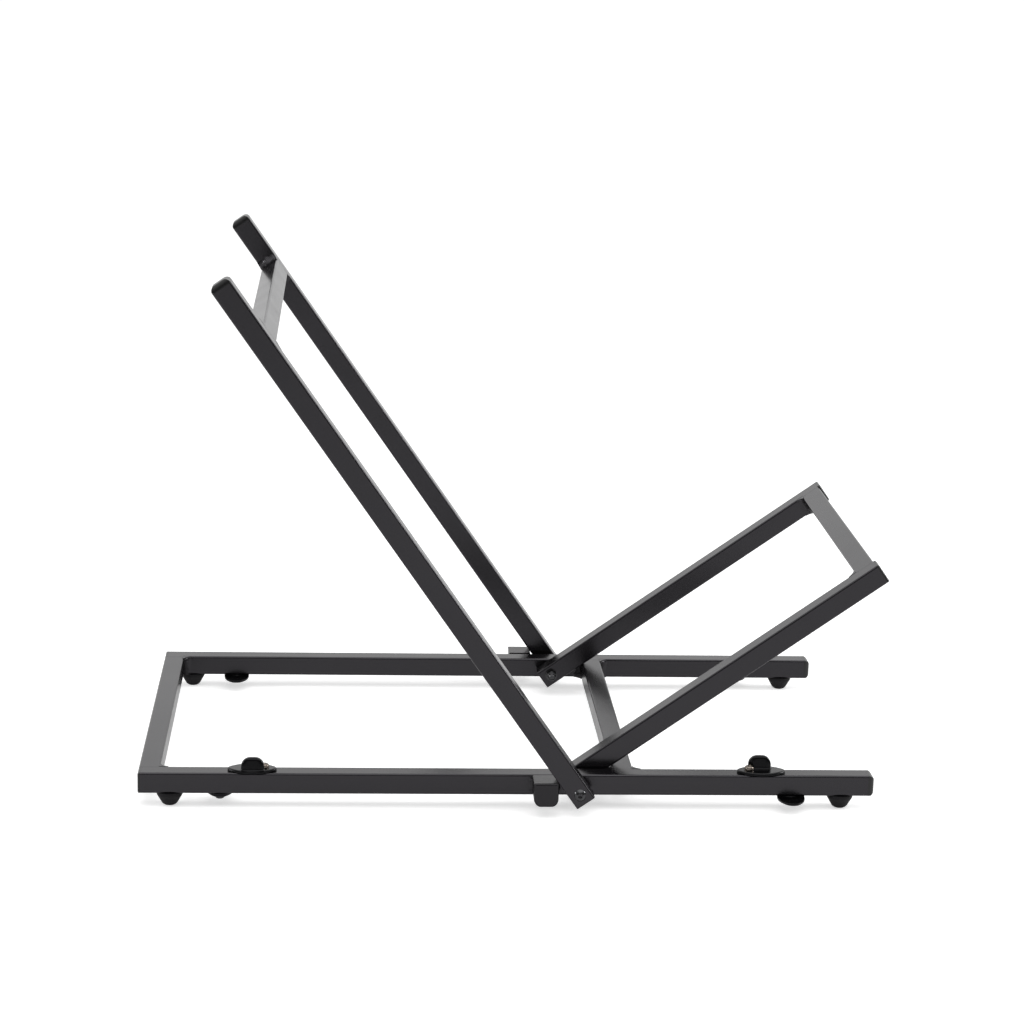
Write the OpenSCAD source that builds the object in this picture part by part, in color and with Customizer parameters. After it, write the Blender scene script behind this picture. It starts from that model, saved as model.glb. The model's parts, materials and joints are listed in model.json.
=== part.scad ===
// Folding amplifier stand, in millimetres.
// +X points to the front, where the cradle is, +Z is up and the floor is at z = 0.
// The origin is on the floor, under the middle of the open stand.
// "Right" is the -Y side and "left" is the +Y side.

/* [Tube] */
// Outside width of the square steel tube
tube = 16; // [15:0.5:18]
// Wall of the tube
wall = 1.2; // [1:0.1:1.6]
// Outside corner radius of the tube
tube_corner = 1.5; // [1.3:0.1:2.5]

/* [Base frame] */
// Length of the base, from the rear crossbar to the faces of the front plugs
base_length = 555; // [500:1:640]
// Width of the base over its two side rails
base_width = 324; // [280:1:420]
// Height of the rails above the floor, which is the height of the rubber feet
foot_height = 11; // [10:0.5:14]
// Distance from the rear face of the base to the pivot axis
pivot_from_rear = 329.5; // [320:0.5:360]
// How far the pivot axis lies below the middle of the rails
pivot_drop = 0.5; // [0.3:0.1:0.8]

/* [Back rest] */
// Lean of the back rest, measured from the floor
back_angle = 54.8; // [50:0.2:62]
// Length of a back leg's tube, from the pivot axis to its top
back_reach = 460.5; // [430:0.5:520]
// Distance from the pivot axis to the lower face of the back crossbar
back_bar_at = 405; // [380:1:415]
// Tube left beyond the pivot axis at the foot of a back leg
back_tail = 8; // [7:0.5:9]
// Gap between a rail and the back leg outside it
back_gap = 6; // [5:0.5:9]

/* [Cradle] */
// Rise of the cradle, measured from the floor
cradle_angle = 35.5; // [30:0.5:40]
// Length of a cradle leg's tube, from the pivot axis to its outer end
cradle_reach = 277.7; // [250:0.1:290]
// Tube left beyond the pivot axis at the foot of a cradle leg
cradle_tail = 9; // [7:0.5:9.5]
// Gap between a rail and the cradle leg inside it
cradle_gap = 3; // [3:0.5:5]

/* [Small parts] */
// Head height of the domed plugs in the rails' front ends and the back legs' tops
dome_head = 5; // [3:0.5:6]
// Head height of the low plugs in the rails' rear ends and the cradle legs
low_head = 2; // [1.5:0.1:2.5]
// Diameter of the pivot bolts
bolt_d = 5; // [4.5:0.5:5]
// Distance from the rear end of the base to the centres of the rear feet
rear_foot_inset = 23.5; // [22:0.5:32]
// Distance from the front end of the base to the centres of the front feet
front_foot_inset = 25; // [23:0.5:32]
// Distance from the pivot axis back to the ledges that carry the folded cradle
rear_ledge_at = 268.5; // [262:0.5:272]
// Distance from the pivot axis forward to the ledges that carry the folded back rest
front_ledge_at = 162; // [152:1:170]
// Distance from the pivot axis back to the screw of the rear latch
rear_latch_at = 235.5; // [225:0.5:240]
// Distance from the pivot axis forward to the screw of the front latch
front_latch_at = 130.5; // [120:0.5:138]

/* [Hidden] */
$fn = 64;

RIGHT = -1;
LEFT = 1;

// Play that pieces on different moving frames keep from each other
play = 0.3;
face_play = 0.2;
// Running clearance on the radius of a bolt or screw that something turns on
running = 0.05;
// Clearance on the radius of a hole that a bolt, screw or stem only passes through
passing = 0.1;
// How far cutting bodies overrun the faces that they cut through
over = 1;

// Main heights and places, worked out from the driving sizes
half = tube/2;
rail_z = foot_height + half;
rail_top = foot_height + tube;
pivot_z = rail_z - pivot_drop;
dome_edge_r = dome_head - 0.5;
low_edge_r = low_head - 0.3;
front_reach = (cradle_reach + low_head - low_edge_r)*cos(cradle_angle)
    + (half - low_edge_r)*sin(cradle_angle) + low_edge_r;
total_length = max(base_length, pivot_from_rear + front_reach);
rear_x = -total_length/2;
front_x = rear_x + base_length;
pivot_x = rear_x + pivot_from_rear;
rail_y = base_width/2 - half;
back_y = base_width/2 + back_gap + half;
cradle_y = base_width/2 - tube - cradle_gap - half;

// Fillet welds in the inner corners: the length of their legs, and the centre and radius
// of the arc that hollows their face
weld_leg = 6;
weld_centre = 1.5*weld_leg;
weld_r = sqrt(2.5)*weld_leg;

// The cradle legs lie on the upper ends of the welds behind the middle crossbar, so this
// is where its rear face has to be. The welds are "weld_thick" under the legs' outer edges.
weld_at = min(cradle_gap + tube_corner, weld_leg);
weld_thick = weld_centre - sqrt(pow(weld_r, 2) - pow(weld_centre - weld_at, 2));
mid_bar_from_pivot = ((half + pivot_drop)*cos(cradle_angle) + half + play)/sin(cradle_angle)
    + weld_thick;

// The back legs lean on the front upper edges of the two rubber stop caps.
cap_w = 18.5;
cap_h = 18.4;
cap_len = 20.5;
cap_top_r = 1;
cap_low_r = 6.5;
cap_top_z = half + 0.8;
stop_from_pivot = (half + cap_top_r + play + (cap_top_z - cap_top_r)*cos(back_angle))
    /sin(back_angle) - cap_top_r;
stub_w = 14;
stub_len = 19;
stub_x = pivot_x - stop_from_pivot - cap_w/2;
stub_z = pivot_z + cap_top_z - cap_h/2;

// Oval plates of the latches and ledges: half length, half width and tip radius, and the
// distance from the middle of the oval to its screw
LATCH_OVAL = [18.4, 10.5, 5];
LEDGE_OVAL = [15.5, 10.4, 7.5];
latch_screw_at = 9;
ledge_screw_at = 7.5;
screw_d = 4;

// Places of the small parts along the base
ledge_rear_x = pivot_x - rear_ledge_at;
ledge_front_x = pivot_x + front_ledge_at;
latch_rear_x = pivot_x - rear_latch_at;
latch_front_x = pivot_x + front_latch_at;
foot_x = [rear_x + rear_foot_inset, front_x - front_foot_inset];

steel_black = [0.16, 0.16, 0.17];
plastic_black = [0.11, 0.11, 0.12];
rubber_black = [0.08, 0.08, 0.09];
zinc = [0.72, 0.72, 0.70];
oxide_black = [0.14, 0.14, 0.14];
nylon = [0.20, 0.20, 0.21];

// ---------------------------------------------------------------- outlines

// Rectangle with all four corners rounded, centred on the origin
module rounded_rect(w, h, r) {
    square([w - 2*r, h], center = true);
    square([w, h - 2*r], center = true);
    for (x = [-1, 1], y = [-1, 1])
        translate([x*(w/2 - r), y*(h/2 - r)]) circle(r);
}

// Section of the square tube
module tube_section(w = tube) {
    difference() {
        rounded_rect(w, w, tube_corner);
        rounded_rect(w - 2*wall, w - 2*wall, max(tube_corner - wall, 0.3));
    }
}

// Oval of four arcs that meet tangentially, with its centre at the origin and its length
// along X
module oval(sizes) {
    half_w = sizes[1];
    tip_r = sizes[2];
    centre = sizes[0] - tip_r;
    side_r = (pow(centre, 2) + pow(half_w, 2) - pow(tip_r, 2))/(2*(half_w - tip_r));
    drop = side_r - half_w;
    tangent_x = centre + tip_r*centre/(side_r - tip_r);
    for (s = [-1, 1]) translate([s*centre, 0]) circle(tip_r);
    intersection() {
        square([2*tangent_x, 2*half_w], center = true);
        translate([0, -drop]) circle(side_r, $fn = 128);
        translate([0, drop]) circle(side_r, $fn = 128);
    }
}

// Points of an arc, for outlines that are turned about an axis
function arc(cx, cy, r, from, to, steps = 8) =
    [for (i = [0 : steps]) let (a = from + (to - from)*i/steps) [cx + r*cos(a), cy + r*sin(a)]];

// ------------------------------------------------------------- basic pieces

// Tube that runs along +X from the origin
module tube_x(length, w = tube) {
    rotate([90, 0, 90]) linear_extrude(length) tube_section(w);
}

// Tube that runs along +Y from the origin
module tube_y(length) {
    translate([0, length, 0]) rotate([90, 0, 0]) linear_extrude(length) tube_section();
}

// Hole along Y through both walls of a tube
module cross_hole(r) {
    rotate([90, 0, 0]) cylinder(h = tube + 2*over, r = r, center = true);
}

// Hole up through one wall of a tube that lies on the origin
module wall_hole(r) {
    translate([0, 0, -over]) cylinder(h = wall + 2*over, r = r);
}

// Fillet weld in the corner between a crossbar's face and the tube that it meets. It
// stands along Z and fills the quarter towards +X and +Y, and it also fills the crossbar's
// rounded corner near the joint.
module weld_fillet() {
    toe = atan(3);
    linear_extrude(tube, center = true) polygon(concat(
        [[-tube_corner, 0]],
        arc(weld_centre, weld_centre, weld_r, toe - 180, -90 - toe)
    ));
}

// Crossbar with its middle at the origin and its welds on the faces that are named:
// -1 for the face towards -X, 1 for the face towards +X.
module crossbar(length, welded_faces) {
    translate([0, -length/2, 0]) tube_y(length);
    for (face = welded_faces, end = [-1, 1])
        translate([face*half, end*length/2, 0])
            mirror([face < 0 ? 1 : 0, 0, 0]) mirror([0, end > 0 ? 1 : 0, 0]) weld_fillet();
}

// Moulded plug for the end of a tube. Its head begins at the origin and ends at +X,
// with all its outer edges rounded, and its ribbed skirt reaches into the tube.
module plug(head, edge_r) {
    bore = tube - 2*wall;
    rib_w = bore - passing;
    rib_len = 1.2;
    rib_corner = 0.5;
    rib_first = 3.2;
    rib_pitch = 3;
    skirt_w = bore - 1.6;
    skirt_len = 11;
    skirt_wall = 1.3;
    skirt_corner = 1.2;
    skirt_inner_corner = 0.6;
    intersection() {
        rotate([90, 0, 90]) linear_extrude(head) rounded_rect(tube, tube, tube_corner);
        rotate([90, 0, 0]) linear_extrude(tube, center = true) plug_side(head, edge_r);
        linear_extrude(tube, center = true) plug_side(head, edge_r);
    }
    difference() {
        translate([-skirt_len, 0, 0]) rotate([90, 0, 90]) linear_extrude(skirt_len)
            rounded_rect(skirt_w, skirt_w, skirt_corner);
        translate([-skirt_len - over, 0, 0]) rotate([90, 0, 90]) linear_extrude(skirt_len)
            rounded_rect(skirt_w - 2*skirt_wall, skirt_w - 2*skirt_wall, skirt_inner_corner);
    }
    for (rib = [0 : 2])
        translate([-rib_first - rib*rib_pitch, 0, 0]) rotate([90, 0, 90])
            linear_extrude(rib_len) difference() {
                rounded_rect(rib_w, rib_w, rib_corner);
                rounded_rect(skirt_w - skirt_wall, skirt_w - skirt_wall, skirt_inner_corner);
            }
}

// Side view of a plug's head: flat at the back, rounded at the front
module plug_side(head, edge_r) {
    translate([0, -half]) square([head - edge_r, tube]);
    translate([0, edge_r - half]) square([head, tube - 2*edge_r]);
    for (y = [-1, 1]) translate([head - edge_r, y*(half - edge_r)]) circle(edge_r);
}

// ------------------------------------------------------------------- base

// Side rail: the pivot bolt crosses it, the feet and ledges are fixed from below,
// and on the right rail the latches' screws enter its top.
module rail(side) {
    start = rear_x + low_head;
    difference() {
        translate([start, side*rail_y, rail_z]) tube_x(front_x - dome_head - start);
        translate([pivot_x, side*rail_y, pivot_z]) cross_hole(bolt_d/2 + passing);
        for (x = foot_x) translate([x, side*rail_y, foot_height]) wall_hole(stem_r + passing);
        for (x = [ledge_rear_x, ledge_front_x])
            translate([x, side*rail_y, foot_height]) wall_hole(screw_d/2);
        if (side == RIGHT) for (x = [latch_rear_x, latch_front_x])
            translate([x, side*rail_y, rail_top - wall]) wall_hole(screw_d/2);
    }
}

module rail_right() { color(steel_black) rail(RIGHT); }
module rail_left() { color(steel_black) rail(LEFT); }

module rear_crossbar() {
    color(steel_black) translate([rear_x + half, 0, rail_z])
        crossbar(base_width - 2*tube, [1]);
}

module mid_crossbar() {
    color(steel_black) translate([pivot_x + mid_bar_from_pivot + half, 0, rail_z])
        crossbar(base_width - 2*tube, [-1, 1]);
}

// Short tube welded to the outside of a rail, which carries the stop cap
module stop_stub(side) {
    translate([stub_x, side*base_width/2, stub_z]) rotate([side > 0 ? -90 : 90, 0, 0])
        linear_extrude(stub_len) tube_section(stub_w);
}

module stop_stub_right() { color(steel_black) stop_stub(RIGHT); }
module stop_stub_left() { color(steel_black) stop_stub(LEFT); }

// Outline of a stop cap seen from the side, drawn about its middle: its upper corners
// are tighter than its lower ones
module stop_cap_outline() {
    side_h = cap_h - cap_top_r - cap_low_r;
    translate([-cap_w/2, cap_low_r - cap_h/2]) square([cap_w, side_h]);
    translate([cap_top_r - cap_w/2, 0]) square([cap_w - 2*cap_top_r, cap_h/2]);
    translate([cap_low_r - cap_w/2, -cap_h/2]) square([cap_w - 2*cap_low_r, cap_h/2]);
    for (x = [-1, 1]) {
        translate([x*(cap_w/2 - cap_top_r), cap_h/2 - cap_top_r]) circle(cap_top_r);
        translate([x*(cap_w/2 - cap_low_r), cap_low_r - cap_h/2]) circle(cap_low_r);
    }
}

// Outline of a stop cap cut along its length, "height" high, with a rounded face
module stop_cap_side(height) {
    face_r = 1.5;
    translate([-height/2, face_r]) square([height, cap_len - face_r]);
    translate([face_r - height/2, 0]) square([height - 2*face_r, cap_len]);
    for (x = [-1, 1]) translate([x*(height/2 - face_r), face_r]) circle(face_r);
}

// Rubber cap pushed over the stub. Its rounded face is flush with the back leg's side.
module stop_cap(side) {
    reach = back_gap + tube;
    pocket = stub_w + passing;
    pocket_len = stub_len - (reach - cap_len) + passing;
    translate([stub_x, side*(base_width/2 + reach), stub_z]) rotate([90, 0, 0])
        mirror([0, 0, side > 0 ? 0 : 1]) difference() {
            intersection() {
                linear_extrude(cap_len) stop_cap_outline();
                rotate([90, 0, 0]) linear_extrude(cap_h, center = true) stop_cap_side(cap_w);
                rotate([90, 0, 90]) linear_extrude(cap_w, center = true) stop_cap_side(cap_h);
            }
            translate([0, 0, cap_len - pocket_len]) linear_extrude(pocket_len + over)
                rounded_rect(pocket, pocket, tube_corner);
        }
}

module stop_cap_right() { color(rubber_black) stop_cap(RIGHT); }
module stop_cap_left() { color(rubber_black) stop_cap(LEFT); }

module rail_plug_front(side) {
    translate([front_x - dome_head, side*rail_y, rail_z]) plug(dome_head, dome_edge_r);
}

module rail_plug_rear(side) {
    translate([rear_x + low_head, side*rail_y, rail_z]) mirror([1, 0, 0])
        plug(low_head, low_edge_r);
}

module rail_plug_front_right() { color(plastic_black) rail_plug_front(RIGHT); }
module rail_plug_front_left() { color(plastic_black) rail_plug_front(LEFT); }
module rail_plug_rear_right() { color(plastic_black) rail_plug_rear(RIGHT); }
module rail_plug_rear_left() { color(plastic_black) rail_plug_rear(LEFT); }

// Push-in rubber foot: a round collar against the rail that tapers to a rounded pad on
// the floor, and a stem whose barb holds it inside the rail's lower wall
stem_r = 3;
module foot(x, side) {
    collar_r = 9.3;
    pad_r = 3.4;
    pad_edge_r = 3.4;
    taper = 27;
    taper_top = pad_edge_r*(1 - sin(taper))
        + (collar_r - pad_r - pad_edge_r*cos(taper))/tan(taper);
    barb_r = 4;
    barb_h = 4.5;
    tip_r = 2.2;
    neck_top = foot_height + wall + passing;
    translate([x, side*rail_y, 0]) rotate_extrude() polygon(concat(
        [[0, 0]],
        arc(pad_r, pad_edge_r, pad_edge_r, -90, -taper),
        [[collar_r, taper_top], [collar_r, foot_height], [stem_r, foot_height],
         [stem_r, neck_top], [barb_r, neck_top], [tip_r, neck_top + barb_h],
         [0, neck_top + barb_h]]
    ));
}

module foot_front_right() { color(rubber_black) foot(foot_x[1], RIGHT); }
module foot_front_left() { color(rubber_black) foot(foot_x[1], LEFT); }
module foot_rear_right() { color(rubber_black) foot(foot_x[0], RIGHT); }
module foot_rear_left() { color(rubber_black) foot(foot_x[0], LEFT); }

// Oval ledge screwed under a rail. Its long end reaches out beside the rail, a step
// lower, and carries a leg of the folded frame. "towards" is 1 for a ledge that
// reaches outwards and -1 for one that reaches inwards.
ledge_t = 3;
ledge_step = 0.8;
module ledge(x, side, towards) {
    translate([x, side*rail_y, foot_height - ledge_t]) rotate([0, 0, side*towards*90])
        difference() {
            translate([ledge_screw_at, 0, 0]) linear_extrude(ledge_t) oval(LEDGE_OVAL);
            translate([half, -LEDGE_OVAL[1] - over, ledge_t - ledge_step])
                cube([2*LEDGE_OVAL[0], 2*LEDGE_OVAL[1] + 2*over, ledge_step + over]);
            translate([0, 0, -over]) cylinder(h = ledge_t + 2*over, r = screw_d/2 + passing);
        }
}

module ledge_front_right() { color(plastic_black) ledge(ledge_front_x, RIGHT, 1); }
module ledge_front_left() { color(plastic_black) ledge(ledge_front_x, LEFT, 1); }
module ledge_rear_right() { color(plastic_black) ledge(ledge_rear_x, RIGHT, -1); }
module ledge_rear_left() { color(plastic_black) ledge(ledge_rear_x, LEFT, -1); }

// Pan-head screw with its head's underside at the origin and its shank down -Z
screw_head_r = 3.7;
module pan_screw(grip) {
    head_h = 3.1;
    rim_h = 1.3;
    edge_r = head_h - rim_h;
    shank_r = screw_d/2 - running;
    end = -grip - 4;
    tip_r = 1.2;
    tip_h = 1.5;
    rotate_extrude() polygon(concat(
        [[0, end], [tip_r, end], [shank_r, end + tip_h], [shank_r, 0],
         [screw_head_r, 0], [screw_head_r, rim_h]],
        arc(screw_head_r - edge_r, rim_h, edge_r, 20, 90, 5),
        [[0, head_h]]
    ));
}

module ledge_screws() {
    color(plastic_black) for (x = [ledge_rear_x, ledge_front_x], side = [RIGHT, LEFT])
        translate([x, side*rail_y, foot_height - ledge_t]) mirror([0, 0, 1])
            pan_screw(ledge_t + wall);
}

// ------------------------------------------------------------------- pivot

// Everything on a pivot is turned about its axis and stacked along Y, from the bolt's
// head outside the back leg to the lock nut inside the cradle leg. "from" is the
// distance from the middle of the stand to the piece's inner face.
module on_pivot(side, from) {
    translate([pivot_x, side*from, pivot_z]) rotate([side > 0 ? -90 : 90, 0, 0]) children();
}

nut_h = 5;
nut_washer_t = 1;
// Length of thread that stands out of a lock nut
thread_out = 1.2;
head_seat = base_width/2 + back_gap + tube + face_play;
washer_seat = cradle_y - half - face_play;
bolt_end = washer_seat - nut_washer_t - nut_h - thread_out;

module ring(outer_r, inner_r, thick) {
    difference() {
        cylinder(h = thick, r = outer_r);
        translate([0, 0, -over]) cylinder(h = thick + 2*over, r = inner_r);
    }
}

// Button-head bolt with a hexagon socket
module pivot_bolt(side) {
    head_r = 4.75;
    head_h = 2.75;
    crown_r = (pow(head_r, 2) + pow(head_h, 2))/(2*head_h);
    crown_a = asin(head_r/crown_r);
    socket_flats = 3;
    socket_deep = 1.8;
    end_bevel = 0.7;
    shank = head_seat - bolt_end;
    r = bolt_d/2;
    on_pivot(side, bolt_end) difference() {
        rotate_extrude() polygon(concat(
            [[0, 0], [r - end_bevel, 0], [r, end_bevel], [r, shank], [head_r, shank]],
            arc(0, shank + head_h - crown_r, crown_r, 90 - crown_a, 90),
            [[0, shank + head_h]]
        ));
        translate([0, 0, shank + head_h - socket_deep])
            cylinder(h = socket_deep + over, r = socket_flats/2/cos(30), $fn = 6);
    }
}

module pivot_bolt_right() { color(oxide_black) pivot_bolt(RIGHT); }
module pivot_bolt_left() { color(oxide_black) pivot_bolt(LEFT); }

// Sleeve that holds the back leg away from the rail
module pivot_spacer(side) {
    on_pivot(side, base_width/2) ring(6, bolt_d/2 + passing, back_gap - face_play);
}

module pivot_spacer_right() { color(nylon) pivot_spacer(RIGHT); }
module pivot_spacer_left() { color(nylon) pivot_spacer(LEFT); }

// Thick washer between the rail and the cradle leg
module pivot_washer(side) {
    on_pivot(side, base_width/2 - tube - cradle_gap + face_play)
        ring(6, bolt_d/2 + passing, cradle_gap - face_play);
}

module pivot_washer_right() { color(nylon) pivot_washer(RIGHT); }
module pivot_washer_left() { color(nylon) pivot_washer(LEFT); }

module nut_washer(side) {
    on_pivot(side, washer_seat - nut_washer_t) ring(5, bolt_d/2 + passing, nut_washer_t);
}

module nut_washer_right() { color(oxide_black) nut_washer(RIGHT); }
module nut_washer_left() { color(oxide_black) nut_washer(LEFT); }

// Lock nut: a hexagon with a round collar that holds its insert
module lock_nut(side) {
    hex_h = 3.4;
    across_flats = 8;
    corner_r = across_flats/2/cos(30);
    collar_r = 3.7;
    on_pivot(side, washer_seat - nut_washer_t - nut_h) difference() {
        union() {
            cylinder(h = nut_h, r = collar_r);
            translate([0, 0, nut_h - hex_h]) cylinder(h = hex_h, r = corner_r, $fn = 6);
        }
        translate([0, 0, -over]) cylinder(h = nut_h + 2*over, r = bolt_d/2);
    }
}

module lock_nut_right() { color(oxide_black) lock_nut(RIGHT); }
module lock_nut_left() { color(oxide_black) lock_nut(LEFT); }

// --------------------------------------------------------------- back rest

// Places its children in the frame of a leg: +X runs along the leg away from the pivot
// and +Z is the leg's upper, carrying face
module on_back(side) {
    translate([pivot_x, side*back_y, pivot_z]) mirror([1, 0, 0]) rotate([0, -back_angle, 0])
        children();
}

module leg(tail, reach) {
    difference() {
        translate([-tail, 0, 0]) tube_x(tail + reach);
        cross_hole(bolt_d/2 + running);
    }
}

module back_leg_right() { color(steel_black) on_back(RIGHT) leg(back_tail, back_reach); }
module back_leg_left() { color(steel_black) on_back(LEFT) leg(back_tail, back_reach); }

module back_crossbar() {
    color(steel_black) on_back(0) translate([back_bar_at + half, 0, 0])
        crossbar(2*back_y - tube, [-1, 1]);
}

module back_plug(side) {
    on_back(side) translate([back_reach, 0, 0]) plug(dome_head, dome_edge_r);
}

module back_plug_right() { color(plastic_black) back_plug(RIGHT); }
module back_plug_left() { color(plastic_black) back_plug(LEFT); }

// ------------------------------------------------------------------ cradle

module on_cradle(side) {
    translate([pivot_x, side*cradle_y, pivot_z]) rotate([0, -cradle_angle, 0]) children();
}

module cradle_leg_right() { color(steel_black) on_cradle(RIGHT) leg(cradle_tail, cradle_reach); }
module cradle_leg_left() { color(steel_black) on_cradle(LEFT) leg(cradle_tail, cradle_reach); }

module cradle_crossbar() {
    color(steel_black) on_cradle(0) translate([cradle_reach - half, 0, 0])
        crossbar(2*cradle_y - tube, [-1]);
}

module cradle_plug(side) {
    on_cradle(side) translate([cradle_reach, 0, 0]) plug(low_head, low_edge_r);
}

module cradle_plug_right() { color(plastic_black) cradle_plug(RIGHT); }
module cradle_plug_left() { color(plastic_black) cradle_plug(LEFT); }

// ----------------------------------------------------------------- latches

// Swing latch: an oval plate that turns on a screw near its inner tip, with a thumb
// knob moulded on it. Its long end points along +X and its knob is towards +Y. The
// knob's corner is hollowed round the screw's head, so that a driver reaches the screw.
latch_t = 2;
latch_seat = 0.05;
latch_lift = 0.3;
knob_h = 10.2;
module latch() {
    boss_r = 5;
    knob_y = 5.4;
    knob_sunk = 0.5;
    plate_top = latch_lift + latch_t;
    difference() {
        union() {
            translate([latch_screw_at, 0, latch_lift]) linear_extrude(latch_t) oval(LATCH_OVAL);
            translate([0, 0, latch_seat]) cylinder(h = latch_lift, r = boss_r);
            translate([latch_screw_at, knob_y, plate_top - knob_sunk]) latch_knob();
        }
        translate([0, 0, -over]) cylinder(h = plate_top + 2*over, r = screw_d/2 + running);
        translate([0, 0, plate_top]) cylinder(h = knob_h, r = screw_head_r + play);
    }
}

// Thumb knob: an arch seen from the side and a drafted, round-topped wall seen from
// the end, so that its top is rounded both ways
module latch_knob() {
    knob_w = 17.4;
    foot_t = 7.4;
    top_r = 2.6;
    shoulder_r = 8.2;
    intersection() {
        rotate([90, 0, 0]) linear_extrude(foot_t, center = true) {
            translate([-knob_w/2, 0]) square([knob_w, knob_h - shoulder_r]);
            translate([shoulder_r - knob_w/2, 0]) square([knob_w - 2*shoulder_r, knob_h]);
            for (x = [-1, 1])
                translate([x*(knob_w/2 - shoulder_r), knob_h - shoulder_r]) circle(shoulder_r);
        }
        rotate([90, 0, 90]) linear_extrude(knob_w, center = true) polygon(concat(
            [[-foot_t/2, 0], [foot_t/2, 0]],
            arc(0, knob_h - top_r, top_r, 8, 172, 12)
        ));
    }
}

module latch_front() {
    color(plastic_black) translate([latch_front_x, -rail_y, rail_top]) latch();
}

module latch_rear() {
    color(plastic_black) translate([latch_rear_x, -rail_y, rail_top]) rotate([0, 0, 180]) latch();
}

module latch_screws() {
    head_gap = 0.1;
    lift = latch_lift + latch_t + head_gap;
    color(zinc) for (x = [latch_rear_x, latch_front_x])
        translate([x, -rail_y, rail_top + lift]) pan_screw(lift + wall);
}

// -------------------------------------------------------------------- nodes

rail_right();
rail_left();
rear_crossbar();
mid_crossbar();
stop_stub_right();
stop_stub_left();
stop_cap_right();
stop_cap_left();
rail_plug_front_right();
rail_plug_front_left();
rail_plug_rear_right();
rail_plug_rear_left();
foot_front_right();
foot_front_left();
foot_rear_right();
foot_rear_left();
ledge_front_right();
ledge_front_left();
ledge_rear_right();
ledge_rear_left();
ledge_screws();
latch_screws();
pivot_bolt_right();
pivot_bolt_left();
pivot_spacer_right();
pivot_spacer_left();
pivot_washer_right();
pivot_washer_left();
nut_washer_right();
nut_washer_left();
lock_nut_right();
lock_nut_left();
back_leg_right();
back_leg_left();
back_crossbar();
back_plug_right();
back_plug_left();
cradle_leg_right();
cradle_leg_left();
cradle_crossbar();
cradle_plug_right();
cradle_plug_left();
latch_front();
latch_rear();
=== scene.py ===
import json
import math

import bpy
import numpy as np
from mathutils import Matrix, Vector


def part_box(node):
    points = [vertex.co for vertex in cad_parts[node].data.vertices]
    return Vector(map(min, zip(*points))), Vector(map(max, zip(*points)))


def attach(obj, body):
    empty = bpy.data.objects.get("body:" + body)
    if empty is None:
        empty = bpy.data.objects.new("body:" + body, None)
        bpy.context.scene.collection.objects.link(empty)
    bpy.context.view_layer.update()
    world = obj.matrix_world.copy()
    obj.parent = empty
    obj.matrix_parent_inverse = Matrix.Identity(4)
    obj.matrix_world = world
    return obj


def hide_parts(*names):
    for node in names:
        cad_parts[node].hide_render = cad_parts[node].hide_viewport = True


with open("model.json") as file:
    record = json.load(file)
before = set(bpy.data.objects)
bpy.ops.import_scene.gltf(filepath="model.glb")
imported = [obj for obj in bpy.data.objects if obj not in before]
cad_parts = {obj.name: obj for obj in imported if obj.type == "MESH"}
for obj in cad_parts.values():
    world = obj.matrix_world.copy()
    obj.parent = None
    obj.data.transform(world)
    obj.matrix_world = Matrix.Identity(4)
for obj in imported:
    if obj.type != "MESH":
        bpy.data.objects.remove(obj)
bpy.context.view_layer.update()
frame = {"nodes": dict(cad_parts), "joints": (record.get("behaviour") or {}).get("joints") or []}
mm = 0.001

# ------------------------------------------------------------------------------ the view
# The stand is seen from a little above, and from a few degrees towards its rear, through a
# long lens. The camera's place and turn are the ones that the tubes' edges agree on.
IMAGE_PX = 1024
FOCAL_PX = 2751.2
CAMERA_PLACE = (-125.5*mm, -2122.6*mm, 694.6*mm)
CAMERA_YAW, CAMERA_PITCH, CAMERA_ROLL = -0.0610, -0.2324, -0.0244

camera_data = bpy.data.cameras.new("camera")
camera_data.sensor_width = 36
camera_data.lens = FOCAL_PX*camera_data.sensor_width/IMAGE_PX
camera = bpy.data.objects.new("camera", camera_data)
bpy.context.collection.objects.link(camera)
camera.matrix_world = (
    Matrix.Translation(CAMERA_PLACE)
    @ Matrix.Rotation(CAMERA_YAW, 4, "Z")
    @ Matrix.Rotation(CAMERA_PITCH, 4, "X")
    @ Matrix.Rotation(CAMERA_ROLL, 4, "Y")
    @ Matrix.Rotation(math.pi/2, 4, "X")
)
bpy.context.scene.camera = camera
bpy.context.scene.view_settings.view_transform = "Standard"

# -------------------------------------------------------------------- square steel tubes
# Every member of the frame is 16 mm square welded steel tube with small rounded corners.
# The frames are cut, welded and ground first and then powder coated satin black, which
# leaves a faint orange peel and a gloss that drifts a little along each tube.


class Value:
    """An output of a node. Arithmetic on it adds the Math node that works it out."""

    def __init__(self, nodes, output):
        self.nodes = nodes
        self.output = output

    def maths(self, operation, first, second):
        return self.nodes.node("ShaderNodeMath", {"operation": operation}, {0: first, 1: second})

    def __add__(self, other):
        return self.maths("ADD", self, other)

    def __radd__(self, other):
        return self.maths("ADD", other, self)

    def __sub__(self, other):
        return self.maths("SUBTRACT", self, other)

    def __rsub__(self, other):
        return self.maths("SUBTRACT", other, self)

    def __mul__(self, other):
        return self.maths("MULTIPLY", self, other)

    def __rmul__(self, other):
        return self.maths("MULTIPLY", other, self)


class Nodes:
    """The nodes of a finish or of the sky, and ways to add to them."""

    def __init__(self, tree):
        self.tree = tree

    def node(self, kind, settings, sockets, output=0):
        """Adds a node of that kind with those settings, then fills its sockets with links or
        plain values. Gives back the output that is asked for, by its place or its name."""
        made = self.tree.nodes.new(kind)
        for key, value in settings.items():
            setattr(made, key, value)
        for key, value in sockets.items():
            self.feed(made.inputs[key], value)
        return Value(self, made.outputs[output])

    def feed(self, socket, value):
        if isinstance(value, Value):
            self.tree.links.new(value.output, socket)
        else:
            socket.default_value = value


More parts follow.
